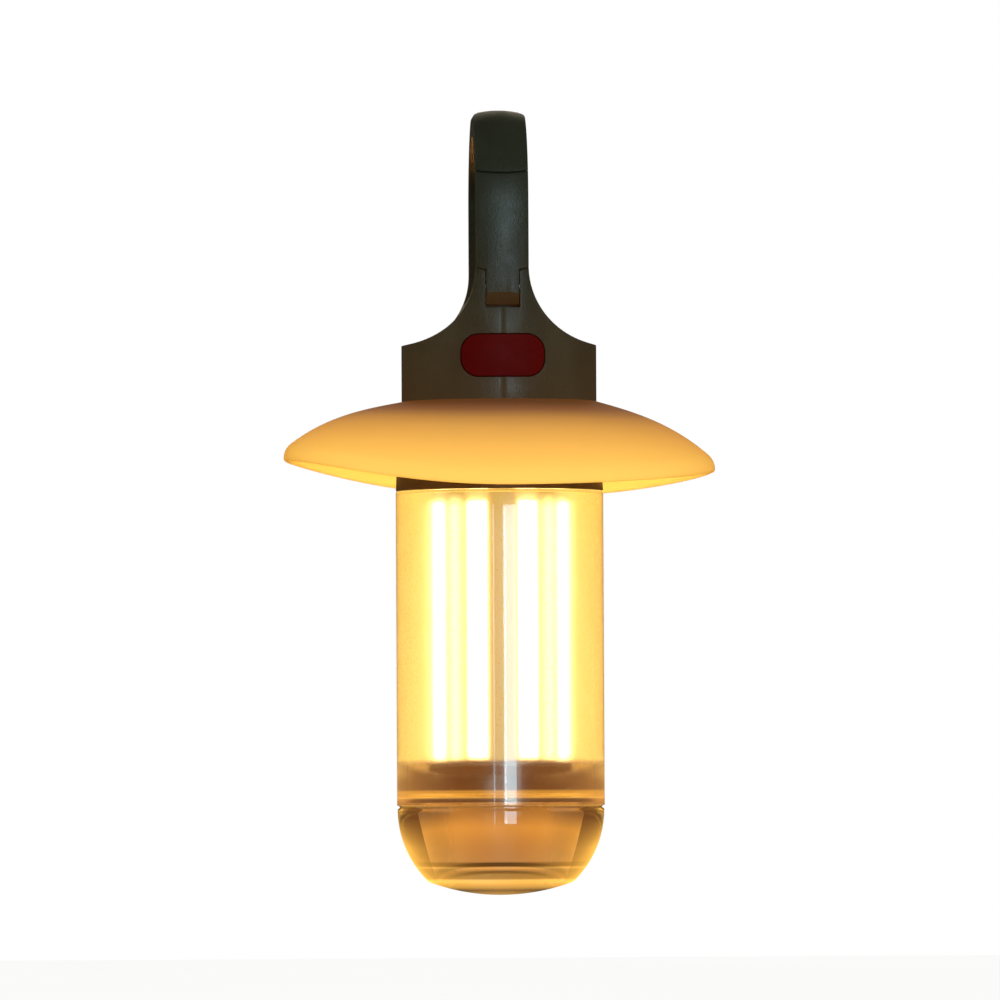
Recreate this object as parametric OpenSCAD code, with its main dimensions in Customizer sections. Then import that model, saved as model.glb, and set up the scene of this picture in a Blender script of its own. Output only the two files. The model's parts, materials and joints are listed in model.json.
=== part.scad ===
// Camping lantern: a carabiner handle and collar over a drooping shade,
// a frosted tube round eight LED strips, and a clear cap below.
// Heights are measured up from the lowest point of the cap.
// The origin is the hang point, under the top of the handle's inner arch,
// with the handle's gate facing -Y and the charging port facing +Y.

/* [Overall] */
// Height of the whole lantern
overall_h = 151.3; // [150.8:0.1:153]
// Radius of the collar, and of the crowned front and back of the handle
collar_r = 18.8; // [18.6:0.1:19]
// Height of the collar's lower edge
collar_low = 95; // [94.9:0.1:95.1]
// Height of the collar's upper edge
collar_top = 105.8; // [105.6:0.1:106]
// Wall of the two collar halves
collar_wall = 1.8; // [1.6:0.1:2]
// Radius of the concave flare from the collar into the handle
flare_r = 14.5; // [14.3:0.1:14.6]

/* [Handle] */
// Width of the handle from side to side
handle_w = 10; // [9.8:0.1:10.4]
// Thickness of the handle's band, front to back
band_t = 4.9; // [4.6:0.1:5.2]
// Height of the floor of the hang opening
loop_floor = 114; // [113.8:0.1:114.4]
// Radius in the lower corners of the hang opening
loop_corner_r = 5; // [4:0.5:6]
// Rounding of the handle's upper edges
handle_edge_r = 1; // [0.6:0.1:1.2]

/* [Gate] */
// Height of the joint between the gate and the nose, at the front
seam_h = 137.6; // [136.5:0.1:138]
// Slope of that joint, which rises inwards and stops the gate
seam_slope = 25; // [15:1:30]
// Gap at that joint
seam_gap = 0.35; // [0.2:0.05:0.5]
// Height of the gate's hinge pin
pin_h = 116.6; // [116.5:0.1:116.8]
// Distance of the hinge pin in front of the lantern's axis
pin_front = 15.2; // [15.1:0.1:15.3]
// Radius of the hinge pin
pin_r = 1; // [0.8:0.1:1.1]
// Radius of the rounded ears that carry the pin
ear_r = 4.3; // [4.1:0.1:4.4]
// Radius of the gate's knuckle
knuckle_r = 3.5; // [3.3:0.1:3.6]
// Width of the gate's knuckle
knuckle_w = 6.3; // [6:0.1:6.4]
// Clearance on each side of the knuckle
knuckle_gap = 0.2; // [0.15:0.05:0.25]

/* [Button] */
// Width of the switch button
button_w = 15.8; // [15:0.1:16]
// Height of the switch button
button_h = 7.9; // [7.5:0.1:8]
// Corner radius of the switch button
button_corner_r = 3.3; // [2.5:0.1:3.6]
// Height of the button's centre
button_mid = 103.3; // [103.2:0.1:103.4]
// Gap round the button
button_gap = 0.25; // [0.2:0.05:0.3]

/* [Shade] */
// Radius of the shade's rim
shade_r = 41.6; // [40:0.1:43]
// Thickness of the shade
shade_t = 1.4; // [1.2:0.1:1.6]
// Slope of the shade where it leaves the collar
shade_slope = 0.2; // [0.15:0.01:0.25]
// Growth of that slope towards the rim
shade_curl = 0.00046; // [0.0003:0.00001:0.0005]
// Radius of the turned-down lip
lip_r = 5.5; // [4.5:0.1:6]
// How much lower the rim hangs at the front and the back than at the sides
droop = 4.1; // [0:0.1:5]

/* [Diffuser] */
// Outer diameter of the frosted tube
tube_d = 40; // [39.6:0.1:40.4]
// Wall of the frosted tube
tube_wall = 2; // [1.6:0.1:2.2]
// Height of the joint between the cap and the tube
cap_seam = 17.2; // [16.8:0.1:17.6]
// Height of the tube's shoulder under the neck ring
tube_shoulder = 77.8; // [77.5:0.1:78]
// Height of the floor inside the cap
cap_floor = 6; // [5.5:0.1:7]

/* [Light] */
// Distance of the light core's flats from the axis
core_flat = 11.9; // [11.6:0.1:12.1]
// Height of the core's lower end
core_low = 26.3; // [26:0.1:26.5]
// Width of one LED board
strip_w = 4.6; // [4:0.1:4.8]
// Width of the phosphor line on each board
phosphor_w = 3.8; // [3:0.1:4]
// Height of the phosphor line above its board
phosphor_t = 1.3; // [0.8:0.1:1.4]
// Number of LED strips round the core
strip_count = 8; // [8:1:8]

/* [Battery] */
// Diameter of the cell
cell_d = 18.4; // [18:0.1:18.6]
// Length of the cell
cell_l = 65; // [64.5:0.1:65.3]

/* [Hidden] */
$fn = 96;
hang_h = overall_h - band_t;
loop_r = collar_r - band_t;
arch_h = overall_h - collar_r;
handle_x = handle_w / 2;
ear_gap = 0.3;
running_gap = 0.06;
slot_x = knuckle_w / 2 + knuckle_gap;
slot_floor = 112.4;
slot_back = -10.6;
knuckle_front = [115.3, 113.15];

cavity_r = collar_r - collar_wall;
cavity_roof = 103.3;
throat_r = 16.3;
throat_top = 97;
bay_x = 8.9;
bay_y = [-16.9, -8];
bay_top = 108.1;
flange_extra = 0.6;

shell_screws_yz = [[0, overall_h - band_t / 2], [collar_r - band_t / 2, 121], [2, 111.4]];
shell_screw_r = 0.8;
screw_head_r = 1.6;
screw_head_t = 1;
screw_head_x = 3.7;

seat_h = collar_low - 1.5;
ring_r = [20, 19.3];
socket_r = 18.5;
socket_top = 86;
spigot_r = 16.2;
spigot_top = 98.6;
ring_bore_r = 14.7;
ring_lip_r = 16.8;

tube_r = tube_d / 2;
tube_bore_r = tube_r - tube_wall;
neck_r = 18.3;
neck_bore_r = 16.7;
neck_top = 82.5;
shoulder_t = 1.5;

cap_side_r = 19.35;
cap_base_r = 40;
cap_spigot_r = tube_bore_r - 0.1;
cap_spigot_bore_r = 15.6;
cap_spigot_top = cap_seam + 2.5;
cap_cavity_r = [8.5, 11];

core_bore_r = 9.6;
core_flange = [84.2, 86];
core_flange_r = 18.2;
lead_channel = [10.1, 0, 1];
plate_t = 1.2;
plate_r = 13.9;
board_t = 0.5;
strip_top = 82.9;
phosphor_span = [26.9, 75.5];

cell_low = 29;
contact_t = 0.6;
carrier_t = 1.6;
main_board_low = spigot_top;
main_board_t = 1.2;
board_top = main_board_low + main_board_t;
main_board_r = 15.8;
switch_y = [-13.1, -9.7];
switch_board_t = 1;
stem_r = 1.6;
stem_y = [-14.2, -11.6];

port_size = [8.94, 3.26];
port_corner_r = 1.25;
port_wall = 0.3;
port_y = [8.9, 16.2];
port_mid = board_top + port_size[1] / 2;
recess_size = [12.4, 6.2];
cover_gap = 0.2;
cover_t = 1.5;
anchor_x = [-8.3, -6.4];

function unit(v) = v / norm(v);
function seam_at(y) = seam_h + (y + collar_r) * tan(seam_slope);
function shade_drop(r) = shade_slope * (r - collar_r) + shade_curl * pow(r - collar_r, 3);
function shade_grade(r) = shade_slope + 3 * shade_curl * pow(r - collar_r, 2);

// One ring of points round a path point, square to the path.
function ring_at(p, along, side, r, n) =
    let (u = unit(cross(along, side)), v = unit(cross(u, along)))
    [for (k = [0 : n - 1]) p + r * (cos(360 * k / n) * u + sin(360 * k / n) * v)];
function way(path, i) = path[min(i + 1, len(path) - 1)] - path[max(i - 1, 0)];
// Side walls between rings of n points.
function wall_faces(rings, n) =
    [for (i = [0 : rings - 2], k = [0 : n - 1])
        let (a = i * n + k, b = i * n + (k + 1) % n)
        each [[a, a + n, b + n], [a, b + n, b]]];

// Moves heights above the cap's lowest point into the lantern's frame.
module hung() {
    translate([0, 0, -hang_h]) children();
}

// A flat outline in X and height, given a depth along Y.
module from_front(depth) {
    rotate([90, 0, 0]) linear_extrude(height = depth, center = true) children();
}

// A flat outline in Y and height, given a width along X.
module from_side(width) {
    rotate([90, 0, 90]) linear_extrude(height = width, center = true) children();
}

// A flat outline in X and height, standing between two values of Y.
module between_y(span, mid) {
    translate([0, span[1], mid]) rotate([90, 0, 0])
        linear_extrude(height = span[1] - span[0]) children();
}

module x_rod(r, x, yz) {
    translate([x[0], yz[0], yz[1]]) rotate([0, 90, 0]) cylinder(r = r, h = x[1] - x[0]);
}

module y_rod(r, y, h) {
    translate([0, y[1], h]) rotate([90, 0, 0]) cylinder(r = r, h = y[1] - y[0]);
}

module z_rod(r, z, xy) {
    translate([xy[0], xy[1], z[0]]) cylinder(r = r, h = z[1] - z[0]);
}

module ring(outer, inner, z) {
    difference() {
        z_rod(outer, z, [0, 0]);
        z_rod(inner, [z[0] - 1, z[1] + 1], [0, 0]);
    }
}

module block(x, y, z) {
    translate([x[0], y[0], z[0]]) cube([x[1] - x[0], y[1] - y[0], z[1] - z[0]]);
}

module rounded_rect(w, h, r) {
    square([w, h - 2 * r], center = true);
    square([w - 2 * r, h], center = true);
    for (x = [-1, 1], y = [-1, 1])
        translate([x * (w / 2 - r), y * (h / 2 - r)]) circle(r = r);
}

// A wire of round section along a path, whose bends lie square to one side direction.
module wire(path, r, side, n = 8) {
    rings = len(path);
    points = [for (i = [0 : rings - 1]) each ring_at(path[i], way(path, i), side, r, n)];
    ends = [[for (k = [0 : n - 1]) k], [for (k = [n - 1 : -1 : 0]) (rings - 1) * n + k]];
    polyhedron(points, concat(wall_faces(rings, n), ends));
}

module right_way(i) {
    rotate([0, 0, (i - 0.5) * 360 / strip_count]) children();
}

// The crowned form that the collar and handle are cut from.
module crown() {
    z_rod(collar_r, [collar_low, arch_h], [0, 0]);
    translate([0, 0, arch_h]) sphere(r = collar_r);
}

module front_outline() {
    translate([-collar_r - 1, collar_low]) square([2 * collar_r + 2, collar_top - collar_low]);
    difference() {
        translate([-handle_x - flare_r, collar_top - 1])
            square([2 * (handle_x + flare_r), flare_r + 1]);
        for (s = [-1, 1])
            translate([s * (handle_x + flare_r), collar_top + flare_r]) circle(r = flare_r);
    }
    edge_h = overall_h - 0.7 - handle_edge_r;
    translate([-handle_x, collar_top]) square([handle_w, edge_h - collar_top]);
    translate([-handle_x + handle_edge_r, collar_top])
        square([handle_w - 2 * handle_edge_r, overall_h - collar_top]);
    for (s = [-1, 1])
        translate([s * (handle_x - handle_edge_r), edge_h]) circle(r = handle_edge_r);
}

module solid_form() {
    intersection() {
        from_front(2 * collar_r + 4) front_outline();
        crown();
    }
}

module loop_opening() {
    from_side(2 * collar_r) {
        translate([0, arch_h]) circle(r = loop_r);
        translate([-loop_r, loop_floor + loop_corner_r])
            square([2 * loop_r, arch_h - loop_floor - loop_corner_r]);
        translate([-loop_r + loop_corner_r, loop_floor])
            square([2 * (loop_r - loop_corner_r), loop_corner_r + 1]);
        for (s = [-1, 1])
            translate([s * (loop_r - loop_corner_r), loop_floor + loop_corner_r])
                circle(r = loop_corner_r);
    }
}

// The part of the handle's front band that belongs to the gate, up to a raised seam.
module gate_zone(lift) {
    y = [-collar_r - 2, -loop_r / 2];
    from_side(2 * collar_r)
        polygon([[y[0], pin_h], [y[1], pin_h],
                 [y[1], seam_at(y[1]) + lift], [y[0], seam_at(y[0]) + lift]]);
}

// The ears that carry the hinge pin; their outer sides carry on the flare.
module ears() {
    intersection() {
        from_side(2 * collar_r) translate([-pin_front, pin_h]) circle(r = ear_r);
        solid_form();
    }
}

module collar_hollow() {
    z_rod(throat_r, [collar_low - 1, throat_top + 1], [0, 0]);
    z_rod(cavity_r, [throat_top, cavity_roof], [0, 0]);
    intersection() {
        block([-bay_x, bay_x], bay_y, [cavity_roof - 1, bay_top]);
        z_rod(cavity_r, [cavity_roof - 2, bay_top + 1], [0, 0]);
    }
}

module shell_screw_holes() {
    for (i = [0 : 2]) {
        x_rod(shell_screw_r, [-3.6, 4], shell_screws_yz[i]);
        x_rod(screw_head_r + 0.1, [screw_head_x, collar_r], shell_screws_yz[i]);
    }
}

module whole_body() {
    difference() {
        union() {
            difference() {
                solid_form();
                loop_opening();
                gate_zone(seam_gap);
            }
            ears();
        }
        collar_hollow();
        block([-slot_x, slot_x], [-collar_r - 1, slot_back], [slot_floor, pin_h + ear_r + 1]);
        x_rod(pin_r, [-handle_x - 1, handle_x + 1], [-pin_front, pin_h]);
        between_y([-collar_r - 1, -collar_r / 2 - 4], button_mid)
            rounded_rect(button_w + 2 * button_gap, button_h + 2 * button_gap,
                         button_corner_r + button_gap);
        between_y([collar_r - 4, collar_r + 1], port_mid)
            rounded_rect(recess_size[0], recess_size[1], 2.8);
        block([anchor_x[0] - 0.1, anchor_x[1] + 0.1], [collar_r / 2, collar_r + 1],
              [port_mid - 1.6, port_mid + 1.6]);
        shell_screw_holes();
    }
}

module left_shell() {
    color([0.24, 0.21, 0.15]) hung() intersection() {
        whole_body();
        block([-collar_r - 1, 0], [-collar_r - 1, collar_r + 1], [collar_low - 1, overall_h + 1]);
    }
}

module right_shell() {
    color([0.24, 0.21, 0.15]) hung() intersection() {
        whole_body();
        block([0, collar_r + 1], [-collar_r - 1, collar_r + 1], [collar_low - 1, overall_h + 1]);
    }
}

// One self-tapping screw with a crossed recess, its head's top at height zero.
module screw(shaft_r, shaft_l, head_r, head_t) {
    difference() {
        union() {
            translate([0, 0, -head_t]) cylinder(r = head_r, h = head_t);
            translate([0, 0, -shaft_l - head_t]) cylinder(r = shaft_r, h = shaft_l + head_t / 2);
        }
        for (a = [0, 90])
            rotate([0, 0, a]) cube([head_r * 1.3, head_r * 0.3, head_t], center = true);
    }
}

module shell_screws() {
    color([0.35, 0.35, 0.36]) hung() for (i = [0 : 2])
        translate([screw_head_x + screw_head_t, shell_screws_yz[i][0], shell_screws_yz[i][1]])
            rotate([0, 90, 0]) screw(shell_screw_r, 7.2, screw_head_r, screw_head_t);
}

module gate_bar() {
    difference() {
        intersection() {
            solid_form();
            gate_zone(0);
        }
        loop_opening();
        x_rod(ear_r + ear_gap, [-collar_r, collar_r], [-pin_front, pin_h]);
    }
}

module gate_knuckle() {
    intersection() {
        from_side(knuckle_w) {
            translate([-pin_front, pin_h]) circle(r = knuckle_r);
            polygon([[-collar_r - 1, pin_h + ear_r + 2], [-loop_r, pin_h + ear_r + 2],
                     [-loop_r, pin_h], [-pin_front, pin_h - knuckle_r + 0.1],
                     [-pin_front - 1.8, knuckle_front[1]], [-collar_r + 0.1, knuckle_front[0]],
                     [-collar_r - 1, knuckle_front[0]]]);
        }
        crown();
    }
}

module gate() {
    color([0.24, 0.21, 0.15]) hung() difference() {
        union() {
            gate_bar();
            gate_knuckle();
        }
        x_rod(pin_r + running_gap, [-handle_x - 1, handle_x + 1], [-pin_front, pin_h]);
        x_rod(2.4, [-1.5, 1.5], [-pin_front, pin_h]);
        block([-1.5, 1.5], [-pin_front, slot_back], [pin_h - 2.4, pin_h + 2.4]);
        block([0.7, 1.5], [-loop_r - 1, slot_back], [pin_h, pin_h + 9.6]);
    }
}

module gate_hinge_pin() {
    color([0.6, 0.6, 0.6]) hung()
        x_rod(pin_r, [-handle_x + 0.25, handle_x - 0.25], [-pin_front, pin_h]);
}

// A torsion spring round the pin: one leg up the back of the gate, one leg along the slot's floor.
module gate_spring() {
    coil_r = 1.75;
    turns = 2.5;
    steps = 40;
    coil_x = 1.1;
    back = -loop_r - 0.35;
    up_leg = [for (p = [[back, 9], [back, 6], [back, 3.6], [back - 0.05, 2.75], [back - 0.35, 2.05]])
        [coil_x, p[0], pin_h + p[1]]];
    coil = [for (i = [0 : steps])
        let (a = turns * 360 * i / steps - 90)
        [coil_x - 2 * coil_x * i / steps, -pin_front - coil_r * cos(a), pin_h - coil_r * sin(a)]];
    down_leg = [for (p = [[1, 0], [2.6, 0], [3.5, -0.6], [4.25, -1.2]])
        [-coil_x, -pin_front + p[0], pin_h - coil_r + p[1]]];
    color([0.7, 0.7, 0.7]) hung() wire(concat(up_leg, coil, down_leg), 0.25, [1, 0, 0]);
}

module button() {
    color([0.55, 0.1, 0.07]) hung() {
        intersection() {
            between_y([-collar_r - 1, -collar_r / 2 - 2], button_mid)
                rounded_rect(button_w, button_h, button_corner_r);
            ring(collar_r, cavity_r - 1.3, [collar_low, collar_top + 10]);
        }
        intersection() {
            between_y([-collar_r - 1, -collar_r / 2 - 2], button_mid)
                rounded_rect(button_w + 2 * flange_extra, button_h + 2 * flange_extra,
                             button_corner_r + flange_extra);
            ring(cavity_r - 0.2, cavity_r - 1.3, [collar_low, collar_top + 10]);
        }
        y_rod(2.2, [-cavity_r + 1, stem_y[0]], button_mid);
    }
}

module switch_stem() {
    color([0.15, 0.15, 0.15]) hung() y_rod(stem_r, stem_y, button_mid);
}

module switch_body() {
    color([0.2, 0.2, 0.22]) hung() difference() {
        block([-3, 3], switch_y, [button_mid - 3, button_mid + 3]);
        y_rod(stem_r + running_gap, [switch_y[0] - 1, switch_y[1] - 1], button_mid);
    }
}

module switch_board() {
    color([0.08, 0.3, 0.16]) hung()
        block([-7, 7], [switch_y[1], switch_y[1] + switch_board_t], [board_top, button_mid + 4.3]);
}

module main_board() {
    color([0.08, 0.3, 0.16]) hung() difference() {
        z_rod(main_board_r, [main_board_low, board_top], [0, 0]);
        block([-collar_r, collar_r], [-collar_r, -12], [main_board_low - 1, board_top + 1]);
    }
}

module board_components() {
    color([0.1, 0.1, 0.1]) hung() {
        block([2, 7], [-3, 1], [board_top, board_top + 1]);
        block([-9, -4], [-3, 2], [board_top, board_top + 2.6]);
        block([9, 12], [2, 4], [board_top, board_top + 0.9]);
        block([-12, -10], [5, 9], [board_top, board_top + 1.2]);
        for (x = [-2, 0, 8]) block([x, x + 1], [4, 6], [board_top, board_top + 0.6]);
    }
}

module usb_port() {
    color([0.75, 0.75, 0.76]) hung() difference() {
        between_y(port_y, port_mid) rounded_rect(port_size[0], port_size[1], port_corner_r);
        between_y([port_y[0] + 1, port_y[1] + 1], port_mid)
            rounded_rect(port_size[0] - 2 * port_wall, port_size[1] - 2 * port_wall,
                         port_corner_r - port_wall);
    }
}

module usb_tongue() {
    color([0.08, 0.08, 0.08]) hung()
        block([-3.35, 3.35], [port_y[0] + 1, port_y[1] - 0.6], [port_mid - 0.35, port_mid + 0.35]);
}

module usb_cover() {
    w = recess_size[0] - 2 * cover_gap;
    h = recess_size[1] - 2 * cover_gap;
    color([0.22, 0.2, 0.15]) hung() {
        intersection() {
            between_y([collar_r / 2, collar_r + 1], port_mid) rounded_rect(w, h, 2.6);
            ring(collar_r, collar_r - cover_t, [port_mid - h, port_mid + h]);
        }
        between_y([port_y[1] - 0.4, collar_r - 1], port_mid) rounded_rect(8, 2.3, 1);
    }
}

module usb_cover_anchor() {
    color([0.22, 0.2, 0.15]) hung() intersection() {
        block(anchor_x, [collar_r / 2, collar_r + 1], [port_mid - 1.5, port_mid + 1.5]);
        ring(collar_r, cavity_r, [collar_low, collar_top]);
    }
}

// The shade's closed section as radius and height, without the droop:
// out along the top, round the lip and back along the underside to the collar's seat.
module shade() {
    lip_mid = shade_r - lip_r;
    turn = 52;
    lip_from = lip_mid + lip_r * cos(turn);
    lip_low = collar_low - shade_drop(lip_from) - lip_r * sin(turn);
    inner_lip_r = lip_r - shade_t;
    inner_from = lip_mid + inner_lip_r * cos(turn);
    steps = 9;
    outer = [for (i = [0 : steps])
        let (r = collar_r + (lip_from - collar_r) * i / steps)
        [r, collar_low - shade_drop(r)]];
    outer_lip = [for (a = [turn * 3 / 4, turn / 2, turn / 4, 0])
        [lip_mid + lip_r * cos(a), lip_low + lip_r * sin(a)]];
    edge = [[shade_r - shade_t / 2, lip_low - shade_t / 4]];
    inner_lip = [for (a = [0, turn / 4, turn / 2, turn * 3 / 4])
        [lip_mid + inner_lip_r * cos(a), lip_low + inner_lip_r * sin(a)]];
    inner = [for (i = [0 : steps - 1])
        let (r = inner_from + (collar_r + 1.4 - inner_from) * i / (steps - 1))
        [r, collar_low - shade_drop(r) - shade_t * sqrt(1 + pow(shade_grade(r), 2))]];
    seat = [[collar_r + 0.7, seat_h], [throat_r, seat_h], [throat_r, collar_low]];
    section = concat(outer, outer_lip, edge, inner_lip, inner, seat);
    n = len(section);
    around = 60;
    points = [for (k = [0 : around - 1]) let (a = 360 * k / around)
        each [for (p = section)
            let (sag = droop * pow(max(p[0] - collar_r, 0) / (shade_r - collar_r), 2))
            [p[0] * cos(a), p[0] * sin(a), p[1] - sag * pow(sin(a), 2)]]];
    faces = [for (k = [0 : around - 1], i = [0 : n - 1])
        let (a = k * n, b = ((k + 1) % around) * n, j = (i + 1) % n)
        each [[a + i, a + j, b + j], [a + i, b + j, b + i]]];
    color([0.98, 0.74, 0.4]) hung() polyhedron(points, faces);
}

module neck_ring() {
    color([0.26, 0.2, 0.12]) hung() difference() {
        union() {
            translate([0, 0, tube_shoulder])
                cylinder(r1 = ring_r[0], r2 = ring_r[1], h = seat_h - tube_shoulder);
            z_rod(spigot_r, [seat_h - 1, spigot_top], [0, 0]);
            z_rod(ring_lip_r, [throat_top + 0.1, spigot_top], [0, 0]);
        }
        z_rod(ring_bore_r, [tube_shoulder - 1, spigot_top + 1], [0, 0]);
        z_rod(socket_r, [tube_shoulder - 1, socket_top], [0, 0]);
        for (a = [30 : 120 : 270]) rotate([0, 0, a]) z_rod(0.7, [socket_top - 1, 91], [16.4, 0]);
    }
}

module upper_o_ring() {
    color([0.1, 0.1, 0.1]) hung() translate([0, 0, 80.5])
        rotate_extrude() translate([neck_r - 0.35, 0]) circle(r = 0.45);
}

module diffuser_tube() {
    color([0.95, 0.7, 0.35, 0.55]) hung() difference() {
        union() {
            z_rod(tube_r, [cap_seam, tube_shoulder], [0, 0]);
            z_rod(neck_r, [tube_shoulder - 1, neck_top], [0, 0]);
        }
        z_rod(tube_bore_r, [cap_seam - 1, tube_shoulder - shoulder_t], [0, 0]);
        z_rod(neck_bore_r, [cap_seam, neck_top + 1], [0, 0]);
        ring(tube_r, neck_r - 0.85, [79.95, 81.05]);
    }
}

module cap_o_ring() {
    color([0.9, 0.85, 0.75]) hung() translate([0, 0, cap_seam + 1.2])
        rotate_extrude() translate([cap_spigot_r - 0.45, 0]) circle(r = 0.45);
}

module bottom_cap() {
    color([0.85, 0.55, 0.2, 0.5]) hung() difference() {
        union() {
            rotate_extrude() intersection() {
                translate([tube_r - 0.1 - cap_side_r, cap_seam - 0.7]) circle(r = cap_side_r);
                translate([0, cap_base_r]) circle(r = cap_base_r);
                square([tube_r, cap_seam - 0.7]);
            }
            z_rod(tube_r - 0.1, [cap_seam - 0.7, cap_seam], [0, 0]);
            z_rod(cap_spigot_r, [cap_seam - 1, cap_spigot_top], [0, 0]);
        }
        translate([0, 0, cap_floor])
            cylinder(r1 = cap_cavity_r[0], r2 = cap_cavity_r[1], h = cap_seam + 0.01 - cap_floor);
        z_rod(cap_spigot_bore_r, [cap_seam, cap_spigot_top + 1], [0, 0]);
        ring(tube_r, cap_spigot_r - 0.9, [cap_seam + 0.7, cap_seam + 1.7]);
    }
}

module light_core() {
    color([0.85, 0.84, 0.8]) hung() difference() {
        union() {
            translate([0, 0, core_low])
                cylinder(r = core_flat / cos(180 / strip_count), h = core_flange[1] - core_low,
                         $fn = strip_count);
            z_rod(core_flange_r, core_flange, [0, 0]);
        }
        z_rod(core_bore_r, [core_low - 1, core_flange[1] + 1], [0, 0]);
        z_rod(lead_channel[2], [core_low - 1, core_flange[1] + 1], [lead_channel[0], 0]);
        for (a = [30 : 120 : 270])
            rotate([0, 0, a]) z_rod(0.9, [core_flange[0] - 1, core_flange[1] + 1], [16.4, 0]);
        for (a = [-8, 8])
            rotate([0, 0, a]) z_rod(0.7, [core_flange[0] - 1, core_flange[1] + 1], [-13.9, 0]);
    }
}

module core_end_plate() {
    color([0.8, 0.78, 0.72]) hung() z_rod(plate_r, [core_low - plate_t, core_low], [0, 0]);
}

module core_screws() {
    color([0.6, 0.6, 0.6]) hung() for (a = [30 : 120 : 270])
        rotate([0, 0, a]) translate([16.4, 0, core_flange[0] - 0.9]) rotate([180, 0, 0])
            screw(0.7, 6, 1.4, 0.9);
}

module led_ring_board() {
    color([0.9, 0.9, 0.88]) hung() ring(14.9, 13, [83, 84]);
}

module led_board(i) {
    color([0.92, 0.9, 0.85]) hung() right_way(i)
        block([core_flat, core_flat + board_t], [-strip_w / 2, strip_w / 2],
              [core_low + 0.1, strip_top]);
}

module led_phosphor(i) {
    bow_r = (pow(phosphor_w / 2, 2) + pow(phosphor_t, 2)) / (2 * phosphor_t);
    color([1, 0.85, 0.35]) hung() right_way(i)
        translate([core_flat + board_t, 0, phosphor_span[0]])
            linear_extrude(height = phosphor_span[1] - phosphor_span[0]) intersection() {
                translate([phosphor_t - bow_r, 0]) circle(r = bow_r);
                translate([0, -phosphor_w]) square([phosphor_w, 2 * phosphor_w]);
            }
}

module battery_cell() {
    color([0.15, 0.35, 0.6]) hung() {
        z_rod(cell_d / 2, [cell_low, cell_low + cell_l - 1], [0, 0]);
        z_rod(2.8, [cell_low + cell_l - 1.5, cell_low + cell_l], [0, 0]);
    }
}

// A conical contact spring under the cell.
module cell_spring() {
    wire_r = 0.35;
    turns = 2.5;
    steps = 45;
    rise = cell_low - core_low - 2 * wire_r;
    path = [for (i = [0 : steps])
        let (a = turns * 360 * i / steps, r = 5.6 - 3 * i / steps)
        [r * cos(a), r * sin(a), core_low + wire_r + rise * i / steps]];
    color([0.75, 0.75, 0.72]) hung() wire(path, wire_r, [0, 0, 1]);
}

module cell_top_contact() {
    top = cell_low + cell_l;
    color([0.8, 0.65, 0.3]) hung() z_rod(4.5, [top, top + contact_t], [0, 0]);
}

module contact_carrier() {
    low = cell_low + cell_l + contact_t;
    color([0.12, 0.12, 0.12]) hung() {
        difference() {
            z_rod(11.4, [low, low + carrier_t], [0, 0]);
            z_rod(0.8, [low - 1, low + carrier_t + 1], [3.4, 0]);
            z_rod(0.9, [low - 1, low + carrier_t + 1], [lead_channel[0], 0]);
        }
        for (a = [60 : 120 : 300]) rotate([0, 0, a])
            block([10.8, ring_bore_r], [-1.5, 1.5], [low, low + carrier_t]);
    }
}

module positive_lead() {
    color([0.75, 0.1, 0.08]) hung()
        z_rod(0.6, [cell_low + cell_l + contact_t, main_board_low], [3.4, 0]);
}

module negative_lead() {
    color([0.05, 0.05, 0.05]) hung()
        z_rod(0.6, [core_low, main_board_low], [lead_channel[0], 0]);
}

module led_leads() {
    color([0.9, 0.9, 0.9]) hung() for (a = [-8, 8])
        rotate([0, 0, a]) z_rod(0.45, [84, main_board_low], [-13.9, 0]);
}

left_shell();
right_shell();
shell_screws();
gate();
gate_hinge_pin();
gate_spring();
button();
switch_stem();
switch_body();
switch_board();
main_board();
board_components();
usb_port();
usb_tongue();
usb_cover();
usb_cover_anchor();
shade();
neck_ring();
upper_o_ring();
diffuser_tube();
cap_o_ring();
bottom_cap();
light_core();
core_end_plate();
core_screws();
led_ring_board();
for (i = [1 : strip_count]) {
    led_board(i);
    led_phosphor(i);
}
battery_cell();
cell_spring();
cell_top_contact();
contact_carrier();
positive_lead();
negative_lead();
led_leads();
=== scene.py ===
"""Looks of the camping lantern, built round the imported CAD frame. Lengths are in metres."""
import json
import math

import bmesh
import bpy
from mathutils import Matrix, Vector


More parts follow.
